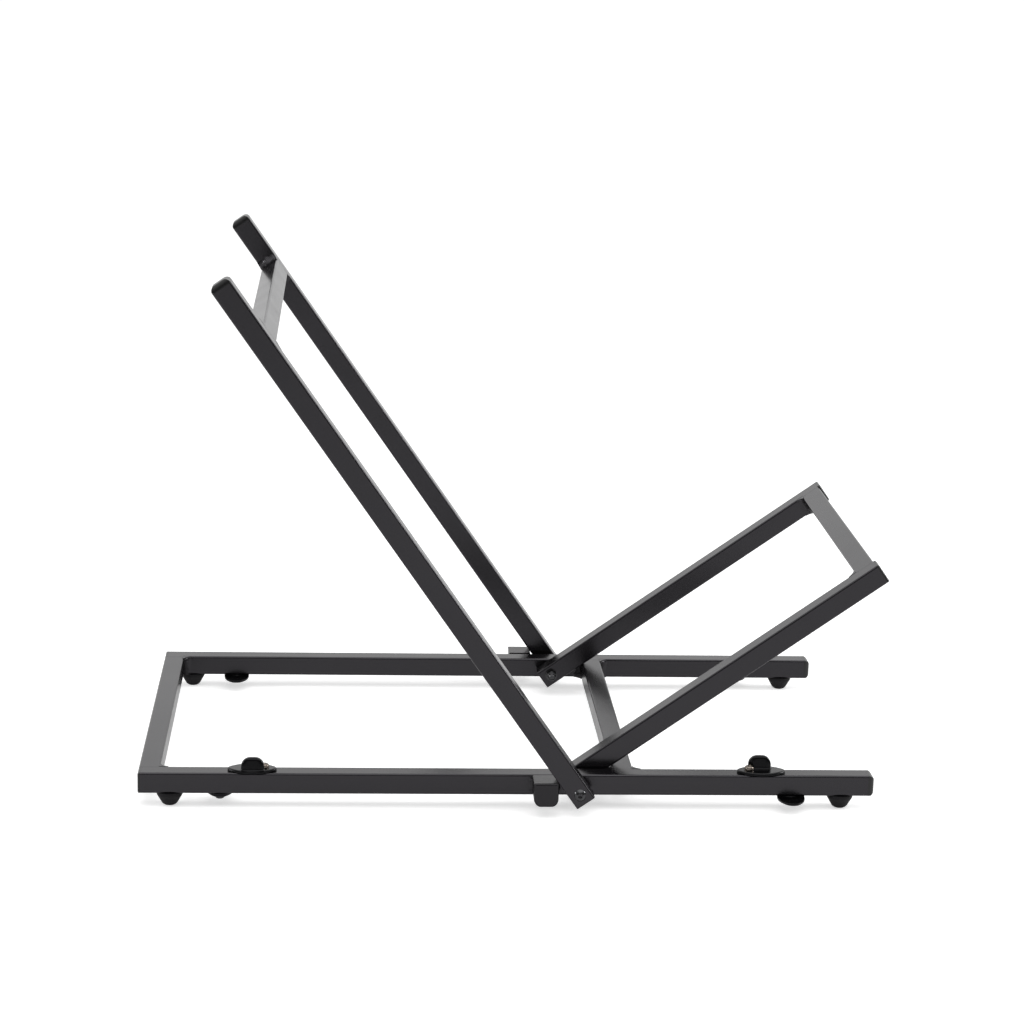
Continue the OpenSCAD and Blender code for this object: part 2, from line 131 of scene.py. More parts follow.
class Finish(Nodes):
    """A surface finish: one material with a Principled surface."""

    def __init__(self, name):
        self.material = bpy.data.materials.new(name)
        self.material.use_nodes = True
        super().__init__(self.material.node_tree)
        self.surface = self.tree.nodes["Principled BSDF"]
        self.place = self.node("ShaderNodeTexCoord", {}, {}, "Object")

    def noise(self, lump, detail=2.0):
        """Soft noise around 0.5 whose lumps are about that long, in metres."""
        return self.node("ShaderNodeTexNoise", {}, {
            "Vector": self.place, "Scale": 1/lump, "Detail": detail,
        })

    def between(self, first, second, share):
        """The colour that a share of 0 to 1 picks between two linear colours."""
        return self.node("ShaderNodeMix", {"data_type": "RGBA"}, {
            0: share, 6: (*first, 1), 7: (*second, 1),
        }, 2)

    def relief(self, height, depth):
        """Normals over a height of 0 to 1 that stands for that depth, in metres."""
        return self.node("ShaderNodeBump", {}, {"Height": height, "Distance": depth})

    def shade(self, **values):
        """Feeds the surface's sockets, named with _ for a space, and gives the material."""
        for key, value in values.items():
            self.feed(self.surface.inputs[key.replace("_", " ")], value)
        return self.material


def coat(thing, material):
    """Puts a finish on a piece or a CAD node."""
    thing.data.materials.clear()
    thing.data.materials.append(material)


def powder_coat():
    """Satin black powder. Colour and gloss drift over a few centimetres; the relief is orange
    peel with lumps of about 1.4 mm and, on top of it, the finer grain of the powder."""
    finish = Finish("powder_coat")
    drift = finish.noise(45*mm, 3)
    peel = finish.noise(1.4*mm, 1)
    grain = finish.noise(0.4*mm)
    return finish.shade(
        Base_Color=finish.between((0.0024, 0.0020, 0.0026), (0.0040, 0.0038, 0.0042), drift),
        Roughness=0.16 + 0.11*drift + 0.04*grain,
        IOR=1.5,
        Specular_Tint=(0.96, 0.93, 1.0, 1.0),
        Normal=finish.relief(0.7*peel + 0.3*grain, 0.018*mm),
    )


black_coat = powder_coat()
TUBES = (
    "rail_right", "rail_left", "rear_crossbar", "mid_crossbar", "stop_stub_right",
    "stop_stub_left", "back_leg_right", "back_leg_left", "back_crossbar", "cradle_leg_right",
    "cradle_leg_left", "cradle_crossbar",
)
for name in TUBES:
    coat(frame["nodes"][name], black_coat)

# ---------------------------------------------------------------------------- weld beads
# Each crossbar and stop stub is welded all round where it meets a rail or a leg. On the
# faces that lie flush the weld is ground flat and fills the groove along the other tube's
# rounded corner; in the inner corners it stays as a rippled fillet under the coating.
SIDES = {"right": -1, "left": 1}
TUBE_CORNER = 1.5*mm
FILLET = 6.2*mm
RIPPLE_LONG = 1.2*mm
RIPPLE_HIGH = 0.0525*mm
GROUND_RIPPLE_HIGH = 0.007*mm
GROUND_BELOW = 1.2*mm
joints = {joint["name"]: joint for joint in frame["joints"]}


def node_box(node):
    """Lowest and highest corner of a CAD node, as arrays."""
    low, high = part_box(node)
    return np.array(low), np.array(high)


rail_low, rail_high = node_box("rail_right")
half = (rail_high[2] - rail_low[2])/2
rail_outside = -rail_low[1]
UP = np.array([0.0, 0.0, 1.0])
FORWARD = np.array([1.0, 0.0, 0.0])
ACROSS = np.array([0.0, 1.0, 0.0])


def smooth(value, low, high):
    """0 up to low, 1 from high on, and the even S 3s^2 - 2s^3 between."""
    share = np.clip((value - low)/(high - low), 0, 1)
    return share*share*(3 - 2*share)


def skin(rings, looped=False):
    """Points and faces of the closed surface through rings[row, place, xyz]. Neighbouring
    rings are joined by quads. A looped surface joins its last ring to its first; any other
    closes both end rings with triangles to their middles. The sign of the volume, the sum
    of a . (b x c) over its triangles, turns the faces outwards. Gives (points, (quads,
    triangles)), all as arrays."""
    rows, places = rings.shape[:2]
    points = rings.reshape(-1, 3)
    here = np.arange(places)
    after = (here + 1) % places
    row = np.arange(rows if looped else rows - 1)[:, None]*places
    next_row = (row + places) % (rows*places)
    quads = np.stack([row + here, row + after, next_row + after, next_row + here], -1)
    quads = quads.reshape(-1, 4)
    caps = np.zeros((0, 3), int)
    if not looped:
        end_row = (rows - 1)*places
        points = np.vstack([points, rings[0].mean(0), rings[-1].mean(0)])
        first_middle = np.full(places, rows*places)
        caps = np.vstack([
            np.stack([first_middle, after, here], -1),
            np.stack([first_middle + 1, end_row + here, end_row + after], -1),
        ])
    corners = np.vstack([quads[:, [0, 1, 2]], quads[:, [0, 2, 3]], caps])
    a, b, c = points[corners[:, 0]], points[corners[:, 1]], points[corners[:, 2]]
    if np.einsum("ij,ij->", a, np.cross(b, c)) < 0:
        quads, caps = quads[:, ::-1], caps[:, ::-1]
    return points, (quads, caps)


def piece(name, parts, body, material, stands_for=(), crease=34):
    """One object made of closed surfaces from skin, riding on a body. Edges are shaded sharp
    where the faces beside them turn by more than crease degrees."""
    faces, start = [], 0
    for points, polygons in parts:
        for same_sided in polygons:
            faces += (start + same_sided).tolist()
        start += len(points)
    mesh = bpy.data.meshes.new(name)
    mesh.from_pydata(np.vstack([points for points, _ in parts]).tolist(), [], faces)
    mesh.shade_smooth()
    mesh.set_sharp_from_angle(angle=math.radians(crease))
    made = bpy.data.objects.new(name, mesh)
    bpy.context.collection.objects.link(made)
    coat(made, material)
    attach(made, body)
    if stands_for:
        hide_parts(*stands_for)


def rounded_square(width, corner, per_side, per_corner):
    """Points and outward normals round a square with rounded corners: each corner is a
    quarter circle, and each side is a straight row of points between two of them."""
    start = 0.5*np.pi*np.arange(4)[:, None]
    turn = start + np.linspace(0, 0.5*np.pi, per_corner)
    spread = (width/2 - corner)*math.sqrt(2)
    normals = np.stack([np.cos(turn), np.sin(turn)], -1)
    middle = start + 0.25*np.pi
    arcs = spread*np.stack([np.cos(middle), np.sin(middle)], -1) + corner*normals
    share = np.linspace(0, 1, per_side + 2)[1:-1, None]
    sides = arcs[:, -1:]*(1 - share) + np.roll(arcs, -1, 0)[:, :1]*share
    side_normals = np.repeat(normals[:, -1:], per_side, 1)
    outline = np.concatenate([arcs, sides], 1).reshape(-1, 2)
    return outline, np.concatenate([normals, side_normals], 1).reshape(-1, 2)


def bead(middle, away, first, second, width, legs, seed, fullness=0.3, reach=1.0):
    """Weld round the end of a square tube that stands with its middle on another's face.
    away points along the tube, and first and second across the sides of its section. legs
    are the fillet's heights on the sides that face first, second, -first and -second: 0 is
    ground flush, and None is not welded, so the bead sinks into the metal there. A leg
    that runs out to nothing turns from fillet to ground weld below GROUND_BELOW. Each
    section is a curve a(1-s)^2 + 2 b s(1-s) + c s^2 from a toe on the other tube to a toe on
    this one, closed by a point inside the joint. It is hollow where fullness is under 0.5,
    and its toe reaches out along the tube by its leg or by reach, the shorter of the two.
    Its ripples are arcs, and slow waves make its leg uneven."""
    outline, normals = rounded_square(width, TUBE_CORNER, per_side=60, per_corner=12)
    leg = np.zeros(len(outline))
    unwelded = np.zeros(len(outline))
    for height, side in zip(legs, ((1, 0), (0, 1), (-1, 0), (0, -1))):
        facing = smooth(normals @ np.array(side, float), 0.93, 1.0)
        leg += facing*(height or 0)
        unwelded += facing*(height is None)
    chance = np.random.default_rng(seed)
    run = np.linspace(0, 2*np.pi, len(outline), endpoint=False)
    swell = chance.uniform(-1, 1, (6, 1))
    phase = chance.uniform(0, 6, (6, 1))
    per_round = np.arange(3, 9)[:, None]
    leg *= 1 + 0.05*(swell*np.cos(per_round*run + phase)).sum(0)
    ground = 1 - smooth(leg, 0, GROUND_BELOW)
    fillet = 1 - ground
    run_out = np.minimum(leg, reach)
    lap, lip, cover, buried, sunk = 1.75*mm, 1.1*mm, 0.03*mm, 0.15*mm, 0.9*mm
    a = np.stack([-lap*ground - buried*fillet, leg + cover*ground], -1)
    b = np.stack([fullness*run_out, fullness*leg + 2*cover*ground], -1)
    c = np.stack([run_out + lip*ground, cover*ground - buried*fillet], -1)
    share = np.linspace(0, 1, 11)[:, None, None]
    section = a*(1 - share)**2 + 2*b*share*(1 - share) + c*share**2
    length = np.cumsum(np.hypot(*(outline - np.roll(outline, 1, 0)).T))
    across = share[..., 0]
    crest = np.cos(2*np.pi*(length/RIPPLE_LONG + 0.7*(2*across - 1)**2))
    height = (RIPPLE_HIGH*fillet + GROUND_RIPPLE_HIGH*ground)*np.sin(np.pi*across)
    section += (crest*height)[..., None]
    inside = np.full((1, len(outline), 2), (-0.3*mm, -sunk))
    section = np.concatenate([section, inside])
    flat = outline + (section[..., 1:] - sunk*unwelded[:, None])*normals
    return skin(
        middle + section[..., :1]*away + flat[..., :1]*first + flat[..., 1:]*second,
        looped=True,
    )


def bar_middle(low, high, angle, bare):
    """Middle of a crossbar's section, from its box. A square with rounded corners that is
    turned by an angle reaches (half - corner)(cos + sin) + corner from its middle. bare is
    -1 or 1 where only that side of the box is free of weld, and 0 where both sides match."""
    reach = (half - TUBE_CORNER)*(math.cos(angle) + math.sin(angle)) + TUBE_CORNER
    bare = np.array(bare)
    return np.where(bare == 0, (low + high)/2, np.where(bare < 0, low + reach, high - reach))


back_angle = math.radians(180 - joints["back_rest_fold"]["range_deg"][1])
cradle_angle = math.radians(180 - joints["cradle_fold"]["range_deg"][1])
up_back = np.array([-math.cos(back_angle), 0, math.sin(back_angle)])
back_face = np.array([math.sin(back_angle), 0, math.cos(back_angle)])
up_cradle = np.array([math.cos(cradle_angle), 0, math.sin(cradle_angle)])
cradle_face = np.array([-math.sin(cradle_angle), 0, math.cos(cradle_angle)])
CROSSBARS = (
    ("rear_crossbar", "base", 0, (-1, 0, 0), FORWARD, UP, (FILLET, 0, None, 0)),
    ("mid_crossbar", "base", 0, (0, 0, 0), FORWARD, UP, (FILLET, 0, FILLET, 0)),
    ("back_crossbar", "back_rest", back_angle, (0, 0, 0), up_back, back_face,
     (FILLET, 0, FILLET, 0)),
    ("cradle_crossbar", "cradle", cradle_angle, (1, 0, 1), up_cradle, cradle_face,
     (None, 0, FILLET, 0)),
)
for order, (bar, body, angle, bare, first, second, legs) in enumerate(CROSSBARS):
    low, high = node_box(bar)
    for side, sign in SIDES.items():
        middle = bar_middle(low, high, angle, bare)
        middle[1] = sign*high[1]
        weld = bead(middle, -sign*ACROSS, first, second, 2*half, legs, 10*order + sign + 1)
        piece(f"weld_{bar}_{side}", [weld], body, black_coat, crease=60)

STUB_FILLET = 5.0*mm
STUB_TOP_FILLET = 0.9*mm
STUB_FULLNESS = 0.76
GAP_BEHIND_CAP = 1.35*mm
for side, sign in SIDES.items():
    low, high = node_box(f"stop_stub_{side}")
    middle = (low + high)/2
    middle[1] = sign*rail_outside
    legs = (STUB_FILLET, STUB_TOP_FILLET, STUB_FILLET, 0)
    weld = bead(middle, sign*ACROSS, FORWARD, UP, high[2] - low[2], legs, 50 + sign,
                STUB_FULLNESS, GAP_BEHIND_CAP)
    piece(f"weld_stop_stub_{side}", [weld], "base", black_coat, crease=60)

# ------------------------------------------------------------------------------ end plugs
# Black plastic plugs close the rails' ends and the legs' free ends. Their heads are as wide
# as the tube and domed or flat with a rounded edge, their ribbed skirts are pressed into it,
# and the mould leaves them with a fine spark-eroded texture.


def moulded_plastic(name, colour, roughness, ior, tint=(1.0, 1.0, 1.0)):
    """Moulded plastic: grain of about 0.3 mm from the mould, over slow drift in colour and
    gloss where it has been handled. tint dims its reflections, least at grazing angles."""
    finish = Finish(name)
    drift = finish.noise(9*mm, 3)
    spark = finish.noise(0.28*mm, 3)
    lighter = tuple(1.5*share for share in colour)
    return finish.shade(
        Base_Color=finish.between(colour, lighter, drift),
        Roughness=roughness - 0.06 + 0.12*drift + 0.05*spark,
        IOR=ior,
        Specular_Tint=(*tint, 1.0),
        Normal=finish.relief(spark, 0.008*mm),
    )


black_plastic = moulded_plastic("moulded_plastic", (0.0024, 0.0024, 0.0026), 0.28, 1.46)
PLUGS = (
    "rail_plug_front_right", "rail_plug_front_left", "rail_plug_rear_right",
    "rail_plug_rear_left", "back_plug_right", "back_plug_left", "cradle_plug_right",
    "cradle_plug_left",
)
for name in PLUGS:
    coat(frame["nodes"][name], black_plastic)

# ------------------------------------------------------------------------ rubber stop caps
# Two moulded rubber caps are pushed over the welded stubs, with a fine mould grain and a
# faint bloom. They are the stops of the open back rest's legs.


def moulded_rubber(name, roughness, ior):
    """Black rubber: a mottled bloom over a few millimetres, and a fine grain. roughness and
    ior set how much it shines."""
    finish = Finish(name)
    bloom = finish.noise(6*mm, 4)
    skin_grain = finish.noise(0.35*mm, 2)
    return finish.shade(
        Base_Color=finish.between((0.0020, 0.0020, 0.0022), (0.0040, 0.0040, 0.0043), bloom),
        Roughness=roughness + 0.12*bloom + 0.05*skin_grain,
        IOR=ior,
        Specular_Tint=(0.98, 0.94, 1.0, 1.0),
        Normal=finish.relief(0.3*bloom + 0.7*skin_grain, 0.02*mm),
    )


cap_rubber = moulded_rubber("cap_rubber", 0.16, 1.41)
for side in SIDES:
    coat(frame["nodes"][f"stop_cap_{side}"], cap_rubber)

# ----------------------------------------------------------------------------- rubber feet
# Four round moulded feet are pushed up into holes in the rails. A collar sits against the
# tube and tapers to a rounded pad, whose face is a low dome in a shallow dish. The barbed
# stem above the collar is hidden inside the tube.
TAU = 2*np.pi


def around(count):
    """Angles that go once round an axis."""
    return np.linspace(0, TAU, count, endpoint=False)


def arc(centre_r, centre_z, radius, start, end, count):
    """Profile points (r, z) on part of a circle, between two angles in degrees."""
    angle = np.radians(np.linspace(start, end, count))
    return np.stack([centre_r + radius*np.cos(angle), centre_z + radius*np.sin(angle)], -1)


def square_to(axis):
    """Two directions at right angles to an upright or level axis and to each other."""
    aside = np.cross(axis, ACROSS if abs(axis[1]) < 0.9 else FORWARD)
    return aside, np.cross(axis, aside)


def turned(profile, seat, axis, looped=False):
    """Surface of a profile of (r, z) points that is turned round an axis through seat."""
    aside, beside = square_to(axis)
    angle = around(72)[None, :, None]
    radius, height = profile[:, None, :1], profile[:, None, 1:]
    rings = seat + height*axis + radius*(np.cos(angle)*aside + np.sin(angle)*beside)
    return skin(rings, looped)


COLLAR_R = 9.9*mm
COLLAR_EDGE = 0.3*mm
PAD_R = 2.2*mm
PAD_EDGE = 4.6*mm
TAPER = 30
BLEND_R = 3*mm
DOME_R = 6.3*mm
DOME_RAISED = 0.24*mm
STEM_R = 3*mm
BARB_R = 4*mm
BARB_TIP_R = 2.2*mm
BARB_H = 4.5*mm


def foot_profile(collar_top, stem_top):
    """Half section (r, z) of a foot, from the middle of its face up to the tip of its stem. The
    taper is the straight line that touches both the pad's round edge and the round that
    blends it into the collar, so the height of the blend's centre follows from its slope."""
    taper = math.radians(TAPER)
    taper_top = (PAD_EDGE*(1 - math.sin(taper))
                 + (COLLAR_R - PAD_R - PAD_EDGE*math.cos(taper))/math.tan(taper))
    blend_z = taper_top + BLEND_R*math.tan(taper/2)
    barb = stem_top - BARB_H
    return np.concatenate([
        arc(0, DOME_RAISED + DOME_R, DOME_R, -89, -72, 5),
        arc(PAD_R, PAD_EDGE, PAD_EDGE, -90, -TAPER, 14),
        arc(COLLAR_R - BLEND_R, blend_z, BLEND_R, -TAPER, 0, 8),
        arc(COLLAR_R - COLLAR_EDGE, collar_top - COLLAR_EDGE, COLLAR_EDGE, 0, 90, 5),
        [(STEM_R, collar_top), (STEM_R, barb), (BARB_R, barb), (BARB_TIP_R, stem_top)],
    ])


foot_rubber = moulded_rubber("foot_rubber", 0.42, 1.31)
for end in ("front", "rear"):
    for side in SIDES:
        name = f"foot_{end}_{side}"
        low, high = node_box(name)
        seat = np.array([(low[0] + high[0])/2, (low[1] + high[1])/2, 0])
        foot = turned(foot_profile(rail_low[2], high[2]), seat, UP)
        piece(f"rubber_{name}", [foot], "base", foot_rubber, (name,))

# -------------------------------------------------------------------------------- ledges
# Four oval plastic ledges are screwed under the rails. Each reaches out beside its rail, a
# step lower, and carries a leg of the folded frame. Their screws are black oxide pan heads.
LEDGE_OVAL = (15.5*mm, 10.4*mm, 7.5*mm)
LEDGE_LOW_EDGE = 1.2*mm
LEDGE_TOP_EDGE = 0.3*mm
LEDGE_SCREW_AT = 7.5*mm
LEDGE_SCREW_LONG = 8.2*mm
LEDGE_STEP = 0.8*mm
LEDGE_HOLE_R = 2.1*mm
OVAL_POINTS = 144
PLATE_RINGS = 60


def oval(sizes, inset):
    """Points round an oval that lies along x, drawn in by an inset. sizes are its half
    length, half width and tip radius. The oval is four arcs that share their tangents, so
    each point is its arc's centre plus the radius, less the inset, along its normal. inset
    may hold one value for each ring."""
    half_long, half_wide, tip_r = sizes
    tip_x = half_long - tip_r
    side_r = (tip_x**2 + half_wide**2 - tip_r**2)/(2*(half_wide - tip_r))
    drop = side_r - half_wide
    turn = around(OVAL_POINTS)
    cos, sin = np.cos(turn), np.sin(turn)
    on_tip = np.abs(sin) < math.sin(math.atan2(drop, tip_x))
    centre = np.where(on_tip, [np.sign(cos)*tip_x, 0*turn], [0*turn, -np.sign(sin)*drop])
    radius = np.where(on_tip, tip_r, side_r) - np.asarray(inset)[..., None]
    return np.stack([centre[0] + radius*cos, centre[1] + radius*sin], -1)


def oval_plate(sizes, screw_at, thick, low_edge, top_edge, hole_r, stepped=0.0):
    """Rings of an oval plate from z = 0 to thick. The rings go out along the underside from
    a screw hole, over the rims, which are quarter circles, back in along the top and down
    the hole. Between hole and rim a ring is (1 - s) rim + s hole, point by point. With a
    step, the top drops by that much past the edge of the rail that it is screwed to."""
    quarter = np.linspace(0, 0.5*np.pi, 7)
    low_rim = low_edge*np.stack([1 - np.sin(quarter), 1 - np.cos(quarter)], -1)
    top_rim = top_edge*np.stack([1 - np.cos(quarter), np.sin(quarter) - 1], -1) + [0, thick]
    inset, height = np.concatenate([low_rim, top_rim]).T
    rim = oval(sizes, inset)
    turn = around(OVAL_POINTS)
    hole = hole_r*np.stack([np.cos(turn), np.sin(turn)], -1) - [screw_at, 0]
    share = np.linspace(0, 1, PLATE_RINGS + 1)[1:, None, None]
    under = (rim[:1]*(1 - share) + hole*share)[::-1]
    over = rim[-1:]*(1 - share) + hole*share
    flat = np.concatenate([under, rim, over])
    z = np.concatenate([np.zeros(PLATE_RINGS), height, np.full(PLATE_RINGS, thick)])
    z = z[:, None] + 0*flat[..., 0]
    outside = smooth(flat[..., 0] + screw_at, half - 1.0*mm, half)
    z -= stepped*outside*np.clip((z - low_edge)/(thick - low_edge), 0, 1)
    return np.concatenate([flat, z[..., None]], -1)


def placed(points, origin, x_way, y_way, z_way):
    """Points in a piece's own x, y and z, carried to its place on the stand."""
    return origin + points[..., :1]*x_way + points[..., 1:2]*y_way + points[..., 2:]*z_way


SCREW_HEAD_R = 3.7*mm
SCREW_HEAD_H = 3.1*mm
SCREW_RIM_H = 1.2*mm
SCREW_SHANK_R = 1.95*mm
SCREW_TIP = 1.5*mm
SCREW_PITCH = 1.4*mm
SCREW_THREAD = 0.35*mm
SCREW_RINGS = 110
SCREW_POINTS = 96
CROSS_REACH = 2.0*mm
CROSS_HALF = 0.42*mm
CROSS_DEEP = 1.5*mm


def pan_screw(seat, axis, long, turn):
    """Pan-head screw whose head stands on seat and points along axis; long is its shank. The
    head is z = rim + rise sqrt(1 - (r/R)^3.4), and its cross recess is the deeper of two slots
    whose floors rise to nothing at the end of their arms. The shank has a sharp thread."""
    aside, beside = square_to(axis)
    angle = around(SCREW_POINTS) + turn
    dome_r = np.concatenate([
        np.linspace(0.04, 0.62, 26), np.sin(np.linspace(0.68, 0.5*np.pi, 14)),
    ])
    dome_z = SCREW_RIM_H + (SCREW_HEAD_H - SCREW_RIM_H)*np.sqrt(np.maximum(1 - dome_r**3.4, 0))
    shank_z = -np.linspace(0.1*mm, long - SCREW_TIP, SCREW_RINGS)
    radius = np.concatenate([
        SCREW_HEAD_R*dome_r, [SCREW_HEAD_R, SCREW_HEAD_R - 0.15*mm, SCREW_SHANK_R],
        np.full(SCREW_RINGS, SCREW_SHANK_R), [SCREW_SHANK_R - 0.9*mm],
    ])
    height = np.concatenate([dome_z, [0.15*mm, 0, 0], shank_z, [-long]])
    x, y = radius[:, None]*np.cos(angle - turn), radius[:, None]*np.sin(angle - turn)
    slots = [
        np.clip(1 - np.abs(along)/CROSS_REACH, 0, 1)
        * (1 - smooth(np.abs(aslant), 0.7*CROSS_HALF, 1.3*CROSS_HALF))
        for along, aslant in ((x, y), (y, x))
    ]
    on_top = (height > SCREW_RIM_H)[:, None]
    z = height[:, None] - CROSS_DEEP*np.minimum(1.6*np.maximum(*slots), 1)*on_top
    threaded = ((height < 0) & (height > SCREW_TIP - long))[:, None]
    wave = np.abs((z/SCREW_PITCH - angle/TAU) % 1 - 0.5)*2
    r = radius[:, None] - SCREW_THREAD*wave*threaded
    way = np.cos(angle)[:, None]*aside + np.sin(angle)[:, None]*beside
    return skin(seat + z[..., None]*axis + r[..., None]*way)


def plated_steel(name, colour, roughness):
    """Plated steel, mottled in colour, gloss and relief over about a millimetre, with a
    finer grain in its gloss and relief."""
    finish = Finish(name)
    mottle = finish.noise(1.1*mm, 4)
    fine = finish.noise(0.2*mm)
    darker = tuple(0.7*share for share in colour)
    return finish.shade(
        Base_Color=finish.between(darker, colour, mottle),
        Metallic=1.0,
        Roughness=roughness - 0.08 + 0.16*mottle + 0.05*fine,
        Normal=finish.relief(0.5*mottle + 0.5*fine, 0.008*mm),
    )


black_oxide = plated_steel("black_oxide", (0.075, 0.075, 0.078), 0.21)
latch_plastic = moulded_plastic("latch_plastic", (0.0016, 0.0016, 0.0018), 0.16, 1.60,
                                (0.20, 0.20, 0.21))
under_screws = []
for end in ("front", "rear"):
    outward = 1 if end == "front" else -1
    for side, sign in SIDES.items():
        name = f"ledge_{end}_{side}"
        low, high = node_box(name)
        away = outward*sign*ACROSS
        centre = np.array([(low[0] + high[0])/2, (low[1] + high[1])/2, low[2]])
        rings = oval_plate(LEDGE_OVAL, LEDGE_SCREW_AT, high[2] - low[2], LEDGE_LOW_EDGE,
                           LEDGE_TOP_EDGE, LEDGE_HOLE_R, LEDGE_STEP)
        shape = skin(placed(rings, centre, away, FORWARD, UP), looped=True)
        piece(f"plate_{name}", [shape], "base", latch_plastic, (name,))
        recess_turn = 0.4 + 1.3*len(under_screws)
        under_screws.append(
            pan_screw(centre - LEDGE_SCREW_AT*away, -UP, LEDGE_SCREW_LONG, recess_turn))
piece("pan_screws_under_ledges", under_screws, "base", black_oxide,
      ("ledge_screws",))

# --------------------------------------------------------------------------- swing latches
# On the right rail two oval plastic latches turn on bright pan-head screws. Each has a
# thumb knob moulded on one long side, hollowed round the screw's head for the driver, and
# swings out over the folded legs.
LATCH_T = 2*mm
LATCH_LIFT = 0.3*mm
LATCH_SEAT = 0.05*mm
LATCH_HOLE_R = 2.05*mm
LATCH_OVAL = (18.4*mm, 10.5*mm, 5*mm)
LATCH_LOW_EDGE = 0.3*mm
LATCH_TOP_EDGE = 1.3*mm
LATCH_SCREW_AT = 9*mm
LATCH_SCREW_LONG = 7.6*mm
BOSS_R = 5*mm
BOSS_EDGE = 0.1*mm
KNOB_AT = 8.4*mm
KNOB_Y = 5.4*mm
KNOB_SUNK = 0.5*mm
KNOB_HALF_LONG = 8.7*mm
KNOB_H = 10.2*mm
KNOB_SHOULDER_R = 7.2*mm
KNOB_FOOT_HALF = 3.7*mm
KNOB_TOP_R = 2.6*mm
KNOB_DRAFT = math.radians(8)
KNOB_FLARE = 0.6*mm
KNOB_FLARE_H = 1.4*mm
KNOB_SQUARENESS = 4.5
DRIVER_R = 4.0*mm


def thumb_knob():
    """Rings that climb a thumb knob, with the screw's axis at x = y = 0. At a height z the
    half length follows an arch, a - s + sqrt(s^2 - (z - h + s)^2) above its shoulders, and
    the half thickness follows a draft and then a round top. Each ring is a superellipse of
    those sizes, flared at the foot and pushed out of the circle that a driver needs."""
    rise = np.sin(np.linspace(0, 0.5*np.pi, 48))
    foot_z, top_z = 0.4*KNOB_SUNK, KNOB_H - 0.02*mm
    z = foot_z + (top_z - foot_z)*rise
    over = np.maximum(z - KNOB_H + KNOB_SHOULDER_R, 0)
    half_long = KNOB_HALF_LONG - KNOB_SHOULDER_R + np.sqrt(KNOB_SHOULDER_R**2 - over**2)
    tangent_z = KNOB_H - KNOB_TOP_R*(1 - math.sin(KNOB_DRAFT))
    tangent_half = KNOB_TOP_R*math.cos(KNOB_DRAFT)
    drafted = KNOB_FOOT_HALF + (tangent_half - KNOB_FOOT_HALF)*z/tangent_z
    crown = np.sqrt(np.maximum(KNOB_TOP_R**2 - (z - KNOB_H + KNOB_TOP_R)**2, 0))
    half_thick = np.where(z < tangent_z, drafted, crown)
    flare = KNOB_FLARE*(1 - smooth(z, KNOB_SUNK, KNOB_SUNK + KNOB_FLARE_H))**2
    turn = around(180)
    cos, sin = np.cos(turn), np.sin(turn)
    power = 2/KNOB_SQUARENESS
    x = (half_long + flare)[:, None]*np.sign(cos)*np.abs(cos)**power + KNOB_AT
    y = (half_thick + flare)[:, None]*np.sign(sin)*np.abs(sin)**power + KNOB_Y
    clear = np.maximum(DRIVER_R/np.hypot(x, y), 1)
    return np.stack([x*clear, y*clear, z[:, None] + 0*x], -1)


def swing_latch(screw, x_way, y_way):
    """The closed shapes that a latch is moulded from: its plate, the knob that is sunk a little
    into it and, under the plate, the ring that it turns on."""
    plate = oval_plate(LATCH_OVAL, LATCH_SCREW_AT, LATCH_T, LATCH_LOW_EDGE, LATCH_TOP_EDGE,
                       LATCH_HOLE_R)
    plate += [LATCH_SCREW_AT, 0, LATCH_LIFT]
    knob = thumb_knob() + [0, 0, LATCH_LIFT + LATCH_T - KNOB_SUNK]
    boss_top = LATCH_LIFT + BOSS_EDGE
    boss = np.array([
        (LATCH_HOLE_R, LATCH_SEAT), (BOSS_R - BOSS_EDGE, LATCH_SEAT),
        (BOSS_R, LATCH_SEAT + BOSS_EDGE), (BOSS_R, boss_top), (LATCH_HOLE_R, boss_top),
    ])
    return [
        skin(placed(plate, screw, x_way, y_way, UP), looped=True),
        skin(placed(knob, screw, x_way, y_way, UP)),
        turned(boss, screw, UP, looped=True),
    ]


bright_zinc = plated_steel("bright_zinc", (0.22, 0.19, 0.165), 0.18)
top_screws = []
head_top = node_box("latch_screws")[1][2]
for end, way in (("front", 1), ("rear", -1)):
    screw = np.array(joints[f"{end}_latch_swing"]["pos_m"])
    piece(f"swing_latch_{end}", swing_latch(screw, way*FORWARD, way*ACROSS), f"{end}_latch",
          latch_plastic, (f"latch_{end}",))
    seat = np.array([screw[0], screw[1], head_top - SCREW_HEAD_H])
    top_screws.append(pan_screw(seat, UP, LATCH_SCREW_LONG, 0.5 + 0.6*way))
piece("pan_screws_on_latches", top_screws, "base", bright_zinc,
      ("latch_screws",))

# -------------------------------------------------------------------------------- pivots
# One bolt on each side carries the back leg, the rail and the cradle leg. It is a black
# button-head bolt with a hexagon socket, and its lock nut, with a nylon ring rolled into
# its collar, leaves the legs free to turn on nylon spacers and washers.
BUTTON_R = 4.75*mm
BUTTON_H = 2.75*mm
SOCKET_HALF = 1.5*mm
SOCKET_DEEP = 1.8*mm
SOCKET_LIP_R = 1.98*mm
CROWN_FROM_R = 2.05*mm
BOLT_R = 2.5*mm
BOLT_TIP = 0.7*mm
THREAD_PITCH = 0.8*mm
THREAD_DEEP = 0.3*mm
THREAD_LONG = 9*mm
THREAD_RINGS = 300
NUT_H = 5*mm
NUT_HEX_H = 3.4*mm
NUT_HALF = 4*mm
NUT_COLLAR_R = 3.7*mm
NUT_ROLL_R = 0.9*mm


def hexagon(apothem, angle):
    """Distance from the middle to the edge of a hexagon at each angle: the apothem over the
    cosine of the angle from the nearest flat's middle."""
    return apothem/np.cos(angle % (TAU/6) - TAU/12)


